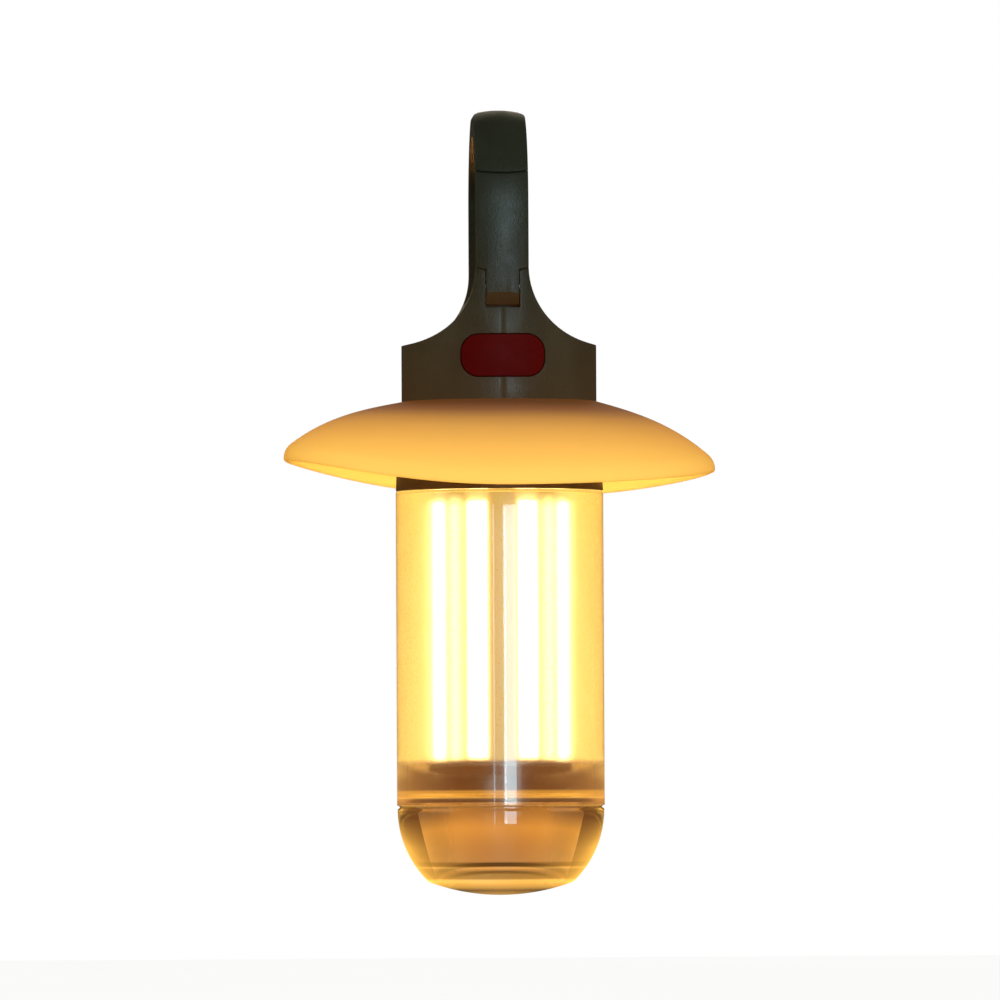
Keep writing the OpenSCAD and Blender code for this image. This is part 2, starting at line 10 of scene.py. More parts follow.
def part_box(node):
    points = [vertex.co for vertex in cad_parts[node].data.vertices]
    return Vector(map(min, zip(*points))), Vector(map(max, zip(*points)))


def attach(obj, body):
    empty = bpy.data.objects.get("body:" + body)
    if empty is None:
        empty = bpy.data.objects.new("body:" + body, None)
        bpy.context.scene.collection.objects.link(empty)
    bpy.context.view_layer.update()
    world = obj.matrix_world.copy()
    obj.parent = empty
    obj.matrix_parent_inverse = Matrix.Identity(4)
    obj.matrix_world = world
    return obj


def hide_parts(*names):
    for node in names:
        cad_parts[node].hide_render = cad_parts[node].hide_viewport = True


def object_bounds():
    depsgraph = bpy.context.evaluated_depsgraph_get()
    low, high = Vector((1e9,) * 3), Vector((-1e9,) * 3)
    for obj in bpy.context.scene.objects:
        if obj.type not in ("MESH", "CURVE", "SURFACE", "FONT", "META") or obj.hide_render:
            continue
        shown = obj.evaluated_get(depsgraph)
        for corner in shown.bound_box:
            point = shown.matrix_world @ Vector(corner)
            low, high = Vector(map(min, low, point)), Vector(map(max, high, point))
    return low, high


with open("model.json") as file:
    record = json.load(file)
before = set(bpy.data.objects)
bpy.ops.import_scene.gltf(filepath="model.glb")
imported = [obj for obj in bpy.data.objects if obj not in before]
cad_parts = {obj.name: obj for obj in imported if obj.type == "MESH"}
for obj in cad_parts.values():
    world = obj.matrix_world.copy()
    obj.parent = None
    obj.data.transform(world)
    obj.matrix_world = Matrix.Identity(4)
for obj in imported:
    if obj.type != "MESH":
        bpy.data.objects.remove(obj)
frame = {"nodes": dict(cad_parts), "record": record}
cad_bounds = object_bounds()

MM = 0.001
NODES = frame["nodes"]
SLOT_OF = {row["node"]: row["material_slot"] for row in frame["record"]["subparts"]}
BODY_OF = {node: body for body, nodes in frame["record"]["behaviour"]["bodies"].items()
           for node in nodes}


# ---------------------------------------------------------------- places taken from the frame

def low(node):
    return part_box(node)[0]


def high(node):
    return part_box(node)[1]


BASE_Z = low("bottom_cap").z
COLLAR_Z = low("left_shell").z
COLLAR_R = high("right_shell").x
TUBE_R = high("diffuser_tube").x
RIM_R = high("shade").x
CAP_TOP_Z = high("bottom_cap").z
CORE_LOW_Z = low("core_end_plate").z
PHOSPHOR_LOW_Z = low("led_phosphor_1").z
PHOSPHOR_TOP_Z = high("led_phosphor_1").z
CHIP_PITCH = 1 * MM


def above_base(h):
    """A height in millimetres above the cap's lowest point, as z in the frame."""
    return BASE_Z + h * MM


# ---------------------------------------------------------------- materials

class Look:
    """A node material with a few short ways to add the nodes that it uses."""

    def __init__(self, name):
        self.material = bpy.data.materials.new(name)
        self.material.use_nodes = True
        self.tree = self.material.node_tree
        self.shader = self.tree.nodes["Principled BSDF"]
        self.output = self.tree.nodes["Material Output"]
        self.coords = self.node("ShaderNodeTexCoord").outputs["Object"]
        self.split = self.node("ShaderNodeSeparateXYZ")
        self.link(self.coords, self.split.inputs["Vector"])

    def node(self, kind, **settings):
        made = self.tree.nodes.new(kind)
        for key, value in settings.items():
            setattr(made, key, value)
        return made

    def link(self, source, target):
        self.tree.links.new(source, target)

    def put(self, value, socket):
        """Gives a socket its value: another socket, a number, or a colour as a tuple."""
        if isinstance(value, bpy.types.NodeSocket):
            self.link(value, socket)
        else:
            socket.default_value = (*value, 1.0) if isinstance(value, tuple) else value

    def set(self, **values):
        """Values for the shader's own sockets, by name with _ for a space."""
        for key, value in values.items():
            self.put(value, self.shader.inputs[key.replace("_", " ")])

    def noise(self, scale, detail, stretch=None):
        """Soft noise with features of about 1 / scale metres, drawn out where stretch is low."""
        made = self.node("ShaderNodeTexNoise")
        made.inputs["Scale"].default_value = scale
        made.inputs["Detail"].default_value = detail
        if stretch:
            mapping = self.node("ShaderNodeMapping")
            mapping.inputs["Scale"].default_value = stretch
            self.link(self.coords, mapping.inputs["Vector"])
            self.link(mapping.outputs["Vector"], made.inputs["Vector"])
        else:
            self.link(self.coords, made.inputs["Vector"])
        return made.outputs["Fac"]

    def ramp(self, source, stops):
        """A colour ramp of (position, colour) stops, driven by source."""
        made = self.node("ShaderNodeValToRGB")
        elements = made.color_ramp.elements
        while len(elements) < len(stops):
            elements.new(0.5)
        for element, (place, colour) in zip(elements, stops):
            element.position = place
            element.color = (*colour, 1.0)
        self.link(source, made.inputs["Fac"])
        return made.outputs["Color"]

    def levels(self, source, stops, reach=1.0):
        """A ramp of (position, level) stops in grey, with positions up to reach."""
        return self.ramp(source, [(place / reach, (level,) * 3) for place, level in stops])

    def span(self, source, start, end, low_value=0.0, high_value=1.0):
        """source mapped from start..end to low_value..high_value, clamped."""
        made = self.node("ShaderNodeMapRange")
        made.inputs["From Min"].default_value = start
        made.inputs["From Max"].default_value = end
        made.inputs["To Min"].default_value = low_value
        made.inputs["To Max"].default_value = high_value
        self.link(source, made.inputs["Value"])
        return made.outputs["Result"]

    def math(self, operation, a, b=0.0):
        """A sum, product or other operation on sockets or plain numbers."""
        made = self.node("ShaderNodeMath", operation=operation)
        for socket, value in zip(made.inputs, (a, b)):
            self.put(value, socket)
        return made.outputs["Value"]

    def mix(self, amount, a, b):
        """Colours a and b mixed by amount. A colour is a socket or a plain tuple."""
        made = self.node("ShaderNodeMix", data_type="RGBA")
        self.link(amount, made.inputs["Factor"])
        for socket, value in zip(made.inputs[6:8], (a, b)):
            self.put(value, socket)
        return made.outputs[2]

    def bump(self, height, strength, distance):
        """Fine relief, as high as distance at full strength."""
        made = self.node("ShaderNodeBump")
        made.inputs["Strength"].default_value = strength
        made.inputs["Distance"].default_value = distance
        self.link(height, made.inputs["Height"])
        self.link(made.outputs["Normal"], self.shader.inputs["Normal"])

    def axis(self, name):
        """The X, Y or Z of the object coordinates."""
        return self.split.outputs[name]

    def radius(self):
        """Distance from the lantern's axis."""
        square = self.math("ADD", self.math("MULTIPLY", self.axis("X"), self.axis("X")),
                           self.math("MULTIPLY", self.axis("Y"), self.axis("Y")))
        return self.math("SQRT", square)

    def facing(self, blend):
        """0 where the surface faces the eye, rising to 1 where it turns away."""
        made = self.node("ShaderNodeLayerWeight")
        made.inputs["Blend"].default_value = blend
        return made.outputs["Facing"]

    def chips(self, low_value=0.0, high_value=1.0):
        """A wave along Z with one crest for each LED chip."""
        turns = self.math("MULTIPLY", self.axis("Z"), 2 * math.pi / CHIP_PITCH)
        return self.span(self.math("SINE", turns), -1.0, 1.0, low_value, high_value)

    def shine(self, colour, strength=1.0):
        self.set(Emission_Color=colour, Emission_Strength=strength)


BLACK = (0.0, 0.0, 0.0)
BODY = (0.113, 0.140, 0.096)


def moulded(name, colour, roughness=0.45, grain=0.22, spread=0.12, gloss=0.25):
    """Moulded plastic: fine spark-eroded grain, faint colour drift and uneven gloss."""
    look = Look(name)
    drift = look.noise(90, 3)
    darker = tuple(c * (1 - spread) for c in colour)
    lighter = tuple(min(1.0, c * (1 + spread)) for c in colour)
    uneven = look.span(look.noise(400, 2), 0.3, 0.7, roughness - 0.05, roughness + 0.07)
    look.set(Base_Color=look.ramp(drift, [(0.3, darker), (0.7, lighter)]),
             Roughness=uneven, Specular_IOR_Level=gloss)
    look.bump(look.noise(2600, 2), grain, 0.0002)
    return look


def metal(name, colour, roughness, stretch=(1, 1, 1)):
    """Bare metal with fine marks, drawn out along an axis where stretch is low."""
    look = Look(name)
    streaks = look.noise(1500, 4, stretch)
    darker = tuple(c * 0.85 for c in colour)
    look.set(Metallic=1.0, Base_Color=look.ramp(streaks, [(0.3, darker), (0.7, colour)]),
             Roughness=look.span(streaks, 0.3, 0.7, roughness - 0.06, roughness + 0.08))
    look.bump(streaks, 0.05, 0.0001)
    return look


def shade_look():
    """Milky silicone lit from below, with painted light: colour and emitted glow painted brown and
    dim by the collar, bright yellow at the rim, and darker where it turns from the eye.
    """
    look = Look("shade_silicone")
    out = look.span(look.radius(), COLLAR_R, RIM_R)
    cloud = look.math("MULTIPLY", look.math("SUBTRACT", look.noise(45, 2), 0.5), 0.05)
    place = look.math("ADD", out, cloud)
    # Painted shade: the base colour is darker by the collar, where the neck ring keeps the strips'
    # light off the shade.
    painted_shade_colour = look.ramp(place, [(0.0, (0.10, 0.09, 0.09)), (0.12, (0.20, 0.155, 0.125)),
                             (0.3, (0.48, 0.36, 0.25)), (0.6, (0.80, 0.66, 0.36)),
                             (1.0, (0.90, 0.78, 0.40))])
    look.set(Base_Color=painted_shade_colour, Roughness=0.6, Specular_IOR_Level=0.2)
    # Painted light: an emitted glow that grows towards the rim, standing in for the strips' light
    # passing through.
    glow = look.ramp(place, [(0.0, (0.03, 0.012, 0.006)), (0.16, (0.065, 0.02, 0.01)),
                             (0.32, (0.21, 0.075, 0.028)), (0.5, (0.56, 0.28, 0.05)),
                             (0.8, (0.80, 0.44, 0.075)), (1.0, (0.9, 0.55, 0.10))])
    # Painted shade: the glow turns dark brown where the surface turns from the eye.
    away = look.math("MULTIPLY", look.math("POWER", look.facing(0.4), 1.6), 0.95)
    look.shine(look.mix(away, glow, (0.20, 0.06, 0.005)))
    look.bump(look.noise(3800, 2), 0.05, 0.0002)
    milky = look.node("ShaderNodeBsdfTranslucent")
    look.link(painted_shade_colour, milky.inputs["Color"])
    blend = look.node("ShaderNodeMixShader")
    blend.inputs["Fac"].default_value = 0.25
    look.link(look.shader.outputs["BSDF"], blend.inputs[1])
    look.link(milky.outputs["BSDF"], blend.inputs[2])
    look.link(blend.outputs["Shader"], look.output.inputs["Surface"])
    return look


# Rings in the cap's foot, by height above the base: the painted glow that they carry, and how
# far each is kept clear (1) or painted dark as shade (0).
CAP_PAINTED_GLOWS = [(0.0, 0.22), (0.5, 0.12), (0.9, 0.01), (2.3, 0.0), (2.6, 0.18), (2.9, 0.22),
             (3.2, 0.01), (5.05, 0.0), (5.25, 0.14), (5.45, 0.08), (5.6, 0.0)]
CAP_PAINTED_SHADE_LEVELS = [(0.0, 0.9), (1.1, 0.35), (2.2, 0.4), (2.5, 1.0), (3.0, 1.0), (3.3, 0.15),
             (4.6, 0.25), (5.1, 0.9), (5.5, 0.85), (5.65, 0.0), (6.3, 0.1), (6.55, 1.0)]
CAP_FOOT_H = 7.0
CLEAR_IOR = 1.49


def clear_look(name, tint, glow, heights, ringed=False):
    """Clear polished plastic with painted light: an emitted glow on rims that turn from the eye.

    The four heights above the base say where that painted glow starts, is full, is last full and
    ends.
    """
    look = Look(name)
    # Painted light: emission on rims that turn from the eye, away from the axis, within the given
    # heights.
    edge = look.math("POWER", look.facing(0.35), 1.5)
    first, full, last_full, last = (above_base(h) for h in heights)
    rise = look.span(look.axis("Z"), first, full)
    fall = look.span(look.axis("Z"), last, last_full)
    outer = look.span(look.radius(), 8.5 * MM, 14 * MM)
    amount = look.math("MULTIPLY", look.math("MULTIPLY", edge, outer),
                       look.math("MULTIPLY", rise, fall))
    body = look.ramp(look.noise(60, 2), [(0.35, tuple(c * 0.97 for c in tint)), (0.65, tint)])
    if ringed:
        # In the foot, painted glow rings are added and painted dark shade rings are mixed into the
        # colour.
        height = look.span(look.axis("Z"), above_base(0), above_base(CAP_FOOT_H))
        amount = look.math("ADD", amount, look.levels(height, CAP_PAINTED_GLOWS, CAP_FOOT_H))
        body = look.mix(look.levels(height, CAP_PAINTED_SHADE_LEVELS, CAP_FOOT_H), (0.10, 0.035, 0.012), body)
    look.shine(look.mix(amount, BLACK, glow))
    look.set(Base_Color=body, Roughness=look.span(look.noise(700, 2), 0.35, 0.65, 0.02, 0.04),
             Transmission_Weight=1.0, IOR=CLEAR_IOR)
    return look


def frosted_look():
    """The tube's inner face: fine frosting, with the strips' amber light painted on as an emitted
    glow.
    """
    look = Look("tube_frosted")
    grain = look.noise(4200, 3)
    tint = look.ramp(grain, [(0.36, (0.72, 0.53, 0.34)), (0.64, (0.88, 0.80, 0.68))])
    frosting = look.span(look.axis("Z"), CORE_LOW_Z - 0.3 * MM, CORE_LOW_Z + 0.5 * MM)
    rough = look.span(grain, 0.3, 0.7, 0.27, 0.34)
    look.set(Base_Color=tint, Transmission_Weight=1.0, IOR=CLEAR_IOR,
             Roughness=look.math("MULTIPLY", rough, look.span(frosting, 0, 1, 0.6, 1)))
    look.bump(look.math("MULTIPLY", grain, frosting), 0.12, 0.0002)
    # Painted glow by height above the base: the tube's foot, its seat on the cap, and the core's
    # light.
    low_h, high_h = 17.0, 27.0
    height = look.span(look.axis("Z"), above_base(low_h), above_base(high_h))
    bands = [(17.2, (0.10, 0.04, 0.012)), (18.5, (0.17, 0.06, 0.013)),
             (18.8, (0.55, 0.27, 0.05)), (19.0, (0.42, 0.19, 0.02)),
             (20.0, (0.45, 0.21, 0.02)), (20.4, (0.02, 0.007, 0.002)),
             (25.6, BLACK), (26.2, (0.52, 0.32, 0.05))]
    glow = look.ramp(height, [((h - low_h) / (high_h - low_h), c) for h, c in bands])
    # Painted light: bright glowing speckles in the frosting, mixed into the glow.
    painted_glow_speckle = look.math("MULTIPLY", look.span(look.noise(1900, 4), 0.42, 0.62), frosting)
    look.shine(look.mix(look.math("MULTIPLY", painted_glow_speckle, 0.15), glow, (0.85, 0.50, 0.26)))
    return look


def cap_inner_look():
    """The hollow's wall inside the clear cap, with painted light: an emitted glow for light led
    down the plastic, and a painted dark shade ring near its floor.
    """
    look = Look("cap_hollow")
    down = look.span(look.axis("Z"), above_base(16.8), above_base(6))
    tint = look.ramp(look.noise(150, 2), [(0.35, (0.95, 0.80, 0.48)), (0.65, (1.0, 0.86, 0.55))])
    # Painted shade: a dark ring mixed into the colour near the hollow's floor.
    foot = look.levels(down, [(0.0, 0), (0.815, 0), (0.83, 1), (0.88, 1), (0.9, 0.1), (0.95, 0.2),
                              (0.965, 0.85)])
    look.set(Base_Color=look.mix(foot, tint, (0.10, 0.04, 0.02)), Roughness=0.42,
             Transmission_Weight=1.0, IOR=CLEAR_IOR)
    # Painted light: the glow by height, stronger where the wall turns from the eye.
    glow = look.ramp(down, [(0.0, (0.02, 0.006, 0.002)), (0.1, (0.08, 0.03, 0.004)),
                            (0.30, (0.36, 0.145, 0.012)), (0.6, (0.14, 0.048, 0.004)),
                            (0.80, (0.08, 0.024, 0.002)), (0.825, BLACK), (0.885, BLACK),
                            (0.905, (0.22, 0.085, 0.01)), (0.945, (0.18, 0.07, 0.01)),
                            (0.965, (0.005, 0.001, 0.0))])
    look.shine(glow, look.math("ADD", 0.9, look.math("MULTIPLY", look.facing(0.4), 0.5)))
    return look


def phosphor_look():
    """Lit phosphor gel over a row of LED chips."""
    look = Look("phosphor")
    grain = look.math("MULTIPLY", look.math("SUBTRACT", look.noise(900, 2), 0.5), 0.15)
    level = look.math("ADD", look.chips(), grain)
    look.set(Base_Color=look.mix(level, (0.9, 0.7, 0.3), (1.0, 0.85, 0.45)), Roughness=0.4)
    look.shine(look.mix(level, (1.0, 0.66, 0.26), (1.0, 0.78, 0.42)), 7.5)
    return look


def core_look():
    """The white core with painted light: an emitted glow brightest on its edges between two strips
    of one quarter, and a dim orange glow below the strips.
    """
    look = moulded("core_white", (0.12, 0.10, 0.08), 0.5, 0.03, 0.04)
    # Painted light: emission along the edges between strips, and a dim glow below them.
    across = look.math("MULTIPLY", look.axis("X"), look.axis("Y"))
    twist = look.math("DIVIDE", across, look.math("POWER", look.radius(), 2.0))
    edge = look.math("POWER", look.math("MULTIPLY", twist, 2.0), 26.0)
    edge = look.math("MULTIPLY", edge, look.chips(0.7, 1.0))
    above = look.span(look.axis("Z"), PHOSPHOR_LOW_Z - 1.0 * MM, PHOSPHOR_LOW_Z)
    below = look.span(look.axis("Z"), PHOSPHOR_TOP_Z + 1.5 * MM, PHOSPHOR_TOP_Z - 1.0 * MM)
    edge = look.math("MULTIPLY", look.math("MULTIPLY", edge, above), below)
    lit = look.mix(edge, BLACK, (4.4, 3.2, 1.4))
    look.shine(look.mix(above, (0.15, 0.05, 0.012), lit))
    return look


def led_board_look():
    """White boards with painted light: the glow of their own chips, painted on as emission over the
    strips.
    """
    look = moulded("led_board", (0.46, 0.40, 0.42), 0.4, 0.02, 0.04)
    # Painted light: a chip-patterned glow on the boards.
    lit = look.mix(look.chips(), (0.75, 0.44, 0.13), (1.0, 0.66, 0.24))
    on_strip = look.span(look.axis("Z"), PHOSPHOR_TOP_Z + 3.0 * MM, PHOSPHOR_TOP_Z - 2.0 * MM)
    look.shine(look.mix(on_strip, BLACK, lit), 0.6)
    return look


def body_look():
    """Dark olive plastic with painted warm light from the shade, emitted most of all low down and
    on the handle's downward faces.
    """
    look = moulded("body_plastic", BODY, 0.36, 0.3)
    # Painted light: warm emission fading upwards from the collar, stronger on downward faces of the
    # handle.
    reach = look.math("POWER", look.span(look.axis("Z"), COLLAR_Z + 38 * MM, COLLAR_Z), 1.6)
    normal = look.node("ShaderNodeSeparateXYZ")
    look.link(look.node("ShaderNodeNewGeometry").outputs["Normal"], normal.inputs["Vector"])
    underside = look.span(normal.outputs["Z"], -0.1, -0.8)
    on_handle = look.span(look.axis("Z"), COLLAR_Z + 16 * MM, COLLAR_Z + 17.5 * MM)
    caught = look.math("MULTIPLY", look.math("MULTIPLY", underside, on_handle), 3.0)
    look.shine(look.mix(reach, BLACK, (0.0285, 0.0085, 0.0004)), look.math("ADD", 1.0, caught))
    look.set(Specular_IOR_Level=0.17)
    return look


LOOKS = {
    "body_plastic": body_look(),
    "button_red": moulded("button_red", (0.34, 0.006, 0.002), 0.6, 0.1, gloss=0.07),
    "ring_plastic": moulded("ring_plastic", (0.16, 0.10, 0.05), 0.45),
    "core_white": core_look(),
    "led_board": led_board_look(),
    "cover_rubber": moulded("cover_rubber", tuple(c * 0.85 for c in BODY), 0.65, 0.1),
    "seal_rubber": moulded("seal_rubber", (0.02, 0.018, 0.016), 0.6, 0.05),
    "black_plastic": moulded("black_plastic", (0.02, 0.02, 0.02), 0.45, 0.04),
    "circuit_board": moulded("circuit_board", (0.03, 0.16, 0.07), 0.3, 0.02),
    "cell_wrap": moulded("cell_wrap", (0.05, 0.14, 0.32), 0.25, 0.01),
    "lead_red": moulded("lead_red", (0.45, 0.03, 0.02), 0.35, 0.02),
    "lead_black": moulded("lead_black", (0.02, 0.02, 0.02), 0.35, 0.02),
    "lead_white": moulded("lead_white", (0.8, 0.8, 0.78), 0.35, 0.02),
    "screw_steel": metal("screw_steel", (0.25, 0.25, 0.26), 0.35),
    "pin_steel": metal("pin_steel", (0.55, 0.55, 0.56), 0.25, (0.1, 1, 1)),
    "spring_steel": metal("spring_steel", (0.62, 0.62, 0.6), 0.25),
    "port_metal": metal("port_metal", (0.6, 0.6, 0.6), 0.28, (1, 0.1, 1)),
    "contact_brass": metal("contact_brass", (0.7, 0.5, 0.2), 0.25),
    "shade_silicone": shade_look(),
    "cap_clear": clear_look("cap_clear", (1.0, 0.93, 0.80), (1.75, 0.90, 0.13),
                            (0, 1.5, 9, 15), ringed=True),
    "tube_clear": clear_look("tube_clear", (1.0, 0.95, 0.86), (0.5, 0.22, 0.045),
                             (17, 19, 24, 27)),
    "phosphor": phosphor_look(),
}
FROSTED = frosted_look()
CAP_HOLLOW = cap_inner_look()

for node_name, node_object in NODES.items():
    node_object.data.materials.clear()
    node_object.data.materials.append(LOOKS[SLOT_OF[node_name]].material)


# ---------------------------------------------------------------- pieces

ON_AXIS = 1e-9


def piece(name, mesh, node, materials=None, body=None):
    """A new object that stands for a CAD node, or a second part of one, which rides body."""
    made = bpy.data.objects.new(name, mesh)
    bpy.context.scene.collection.objects.link(made)
    slot = SLOT_OF[node]
    for look in materials or [LOOKS[slot]]:
        mesh.materials.append(look.material)
    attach(made, body or BODY_OF[node])
    if not body:
        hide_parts(node)
    return made


def finished(mesh, name):
    """Mesh data from a bmesh, with its faces turned outwards."""
    bmesh.ops.recalc_face_normals(mesh, faces=mesh.faces)
    data = bpy.data.meshes.new(name)
    mesh.to_mesh(data)
    mesh.free()
    return data


def lathe(name, section, around, lift=None, second_material=()):
    """A closed (radius, z) section turned about the axis. lift(r, angle) moves a point along Z.

    A point at radius zero becomes one vertex. second_material holds the indices of section
    edges whose faces take the second material.
    """
    mesh = bmesh.new()
    rings = []
    for r, z in section:
        if r < ON_AXIS:
            rings.append([mesh.verts.new((0, 0, z))])
            continue
        ring = []
        for k in range(around):
            a = 2 * math.pi * k / around
            dz = lift(r, a) if lift else 0.0
            ring.append(mesh.verts.new((r * math.cos(a), r * math.sin(a), z + dz)))
        rings.append(ring)
    closed = section[0][0] > ON_AXIS
    count = len(section)
    for i in range(count if closed else count - 1):
        a, b = rings[i], rings[(i + 1) % count]
        for k in range(around):
            n = (k + 1) % around
            corners = [a[k % len(a)], b[k % len(b)], b[n % len(b)], a[n % len(a)]]
            unique = list(dict.fromkeys(corners))
            face = mesh.faces.new(unique)
            face.smooth = True
            face.material_index = 1 if i in second_material else 0
    return finished(mesh, name)


def arc(centre, r, start, end, steps):
    """Points of an arc in (radius, z), angles in degrees."""
    turn = [math.radians(start + (end - start) * i / steps) for i in range(steps + 1)]
    return [(centre[0] + r * math.cos(a), centre[1] + r * math.sin(a)) for a in turn]


def rounded(points, radii, steps=4):
    """A closed outline with each corner rounded by its radius; zero keeps the corner."""
    made = []
    count = len(points)
    for i, (p, r) in enumerate(zip(points, radii)):
        before, after = Vector(points[i - 1]), Vector(points[(i + 1) % count])
        here = Vector(p)
        if r <= 0:
            made.append(tuple(here))
            continue
        a, b = (before - here).normalized(), (after - here).normalized()
        half = a.angle(b) / 2
        reach = r / math.tan(half)
        start, end = here + a * reach, here + b * reach
        for s in range(steps + 1):
            t = s / steps
            made.append(tuple((1 - t) ** 2 * start + 2 * t * (1 - t) * here + t ** 2 * end))
    return made


def make_shade():
    """The drooping shade: like the CAD solid but finer, with a tighter curl at the rim."""
    slope, curl, thick, lip, turn = 0.22, 418.0, 1.4 * MM, 3.6 * MM, 50
    droop, left_power, right_power = 5.0 * MM, 2.35, 1.6
    crooked, left_share = 1.5 * MM, 0.65
    top = COLLAR_Z

    def drop(r):
        """How far the top face has fallen at radius r."""
        return slope * (r - COLLAR_R) + curl * (r - COLLAR_R) ** 3

    def grade(r):
        return slope + 3 * curl * (r - COLLAR_R) ** 2

    mid = RIM_R - lip
    lip_from = mid + lip * math.cos(math.radians(turn))
    lip_z = top - drop(lip_from) - lip * math.sin(math.radians(turn))
    # The lip's arcs start a little past the slope's last point, so that no two points meet.
    lip_turn, steps = turn * 0.9, 30
    out = [COLLAR_R + (lip_from - COLLAR_R) * i / steps for i in range(steps + 1)]
    section = [(r, top - drop(r)) for r in out]
    section += arc((mid, lip_z), lip, lip_turn, 0, 9)
    section += arc((RIM_R - thick / 2, lip_z), thick / 2, -20, -160, 6)
    section += arc((mid, lip_z), lip - thick, 0, lip_turn, 9)
    inner_from = mid + (lip - thick) * math.cos(math.radians(turn))
    inner_to = COLLAR_R + 1.4 * MM
    inner = [inner_from + (inner_to - inner_from) * i / steps for i in range(steps + 1)]
    section += [(r, top - drop(r) - thick * math.sqrt(1 + grade(r) ** 2)) for r in inner]
    seat = top - 1.5 * MM
    hole = 16.3 * MM
    section += [(COLLAR_R + 0.7 * MM, seat), (hole, seat), (hole, top)]

    def lift(r, a):
        # The soft shade droops in front and behind. It also hangs a little lower on the right
        # and higher on the left, most of all at the back.
        share = max(r - COLLAR_R, 0) / (RIM_R - COLLAR_R)
        back = ((share * math.sin(a) + 1) / 2) ** 2
        lean = crooked * share * math.cos(a) * ((1 - back) * abs(math.cos(a)) + back)
        if lean < 0:
            return -droop * share ** 2 * abs(math.sin(a)) ** left_power - left_share * lean
        return -droop * share ** 2 * abs(math.sin(a)) ** right_power - lean

    return piece("shade_skin", lathe("shade_skin", section, 240, lift), "shade")


def make_cap():
    """The clear cap: a thick base with a tapered hollow, and a softened lower corner."""
    side_r, base_r, seam = 19.35 * MM, 40 * MM, above_base(17.2)
    outer = TUBE_R - 0.1 * MM
    side_mid = (outer - side_r, seam - 0.7 * MM)
    corner = 1.8 * MM
    # The corner's circle touches the side arc and the base arc from inside.
    reach_side, reach_base = side_r - corner, base_r - corner
    base_mid = (0.0, BASE_Z + base_r)
    gap = Vector(side_mid) - Vector(base_mid)
    along = (reach_base ** 2 - reach_side ** 2 + gap.length ** 2) / (2 * gap.length)
    across = math.sqrt(reach_base ** 2 - along ** 2)
    unit = gap.normalized()
    corner_mid = Vector(base_mid) + unit * along + Vector((-unit.y, unit.x)) * across
    to_base = math.degrees(math.atan2(*(corner_mid - Vector(base_mid)).yx))
    to_side = math.degrees(math.atan2(*(corner_mid - Vector(side_mid)).yx))
    section = [(0.0, BASE_Z)]
    section += arc(base_mid, base_r, -90, to_base, 24)[1:]
    section += arc(corner_mid, corner, to_base, to_side, 8)[1:]
    section += arc(side_mid, side_r, to_side, 0, 24)[1:]
    spigot = TUBE_R - 2.1 * MM
    groove = spigot - 0.9 * MM
    top = CAP_TOP_Z
    bore, hollow_top_r, hollow_low_r = 15.6 * MM, 11 * MM, 8.5 * MM
    floor = above_base(6)
    section += rounded(
        [(outer, seam), (spigot, seam), (spigot, seam + 0.7 * MM), (groove, seam + 0.7 * MM),
         (groove, seam + 1.7 * MM), (spigot, seam + 1.7 * MM), (spigot, top), (bore, top),
         (bore, seam), (hollow_top_r, seam), (hollow_low_r, floor), (0.0, floor)],
        [0.15 * MM, 0, 0, 0, 0, 0, 0.25 * MM, 0.25 * MM, 0.3 * MM, 0.4 * MM, 0.8 * MM, 0])
    hollow_edges = [i for i, (r, z) in enumerate(section)
                    if r < hollow_top_r + 0.5 * MM and floor - 0.1 * MM < z <= seam]
    mesh = lathe("cap_clear", section, 256, second_material=hollow_edges)
    return piece("cap_clear", mesh, "bottom_cap", [LOOKS["cap_clear"], CAP_HOLLOW])


def make_tube():
    """The tube: clear and smooth outside, frosted on the inner face."""
    outer, inner = TUBE_R, TUBE_R - 2 * MM
    low_z, shoulder, top = low("diffuser_tube").z, above_base(77.8), high("diffuser_tube").z
    neck, neck_bore = 18.3 * MM, 16.7 * MM
    section = rounded(
        [(outer, low_z), (outer, shoulder), (neck, shoulder), (neck, top), (neck_bore, top),
         (neck_bore, shoulder - 0.5 * MM), (inner, shoulder - 0.5 * MM), (inner, low_z)],
        [0.2 * MM, 0.3 * MM, 0, 0.2 * MM, 0.2 * MM, 0.2 * MM, 0.3 * MM, 0.2 * MM])
    frosted_edges = [i for i, (r, _) in enumerate(section) if r < inner + 0.05 * MM]
    mesh = lathe("tube_frosted", section, 256, second_material=frosted_edges)
    return piece("tube_frosted", mesh, "diffuser_tube", [LOOKS["tube_clear"], FROSTED])


def make_neck_ring():
    """The ring on the tube's neck, with the seat for the shade and a snap rim above it."""
    low_z, seat, top = low("neck_ring").z, above_base(93.5), high("neck_ring").z
    foot_r, seat_r, waist, snap = 20 * MM, 19.3 * MM, 16.2 * MM, 16.8 * MM
    bore, wide_bore, step = 14.7 * MM, 18.5 * MM, above_base(86)
    section = rounded(
        [(foot_r, low_z), (seat_r, seat), (waist, seat), (waist, top - 1.5 * MM),
         (snap, top - 1.5 * MM), (snap, top), (bore, top), (bore, step), (wide_bore, step),
         (wide_bore, low_z)],
        [0.3 * MM, 0.3 * MM, 0, 0, 0.2 * MM, 0.2 * MM, 0.2 * MM, 0, 0, 0.2 * MM])
    return piece("neck_ring_turned", lathe("neck_ring_turned", section, 192), "neck_ring")


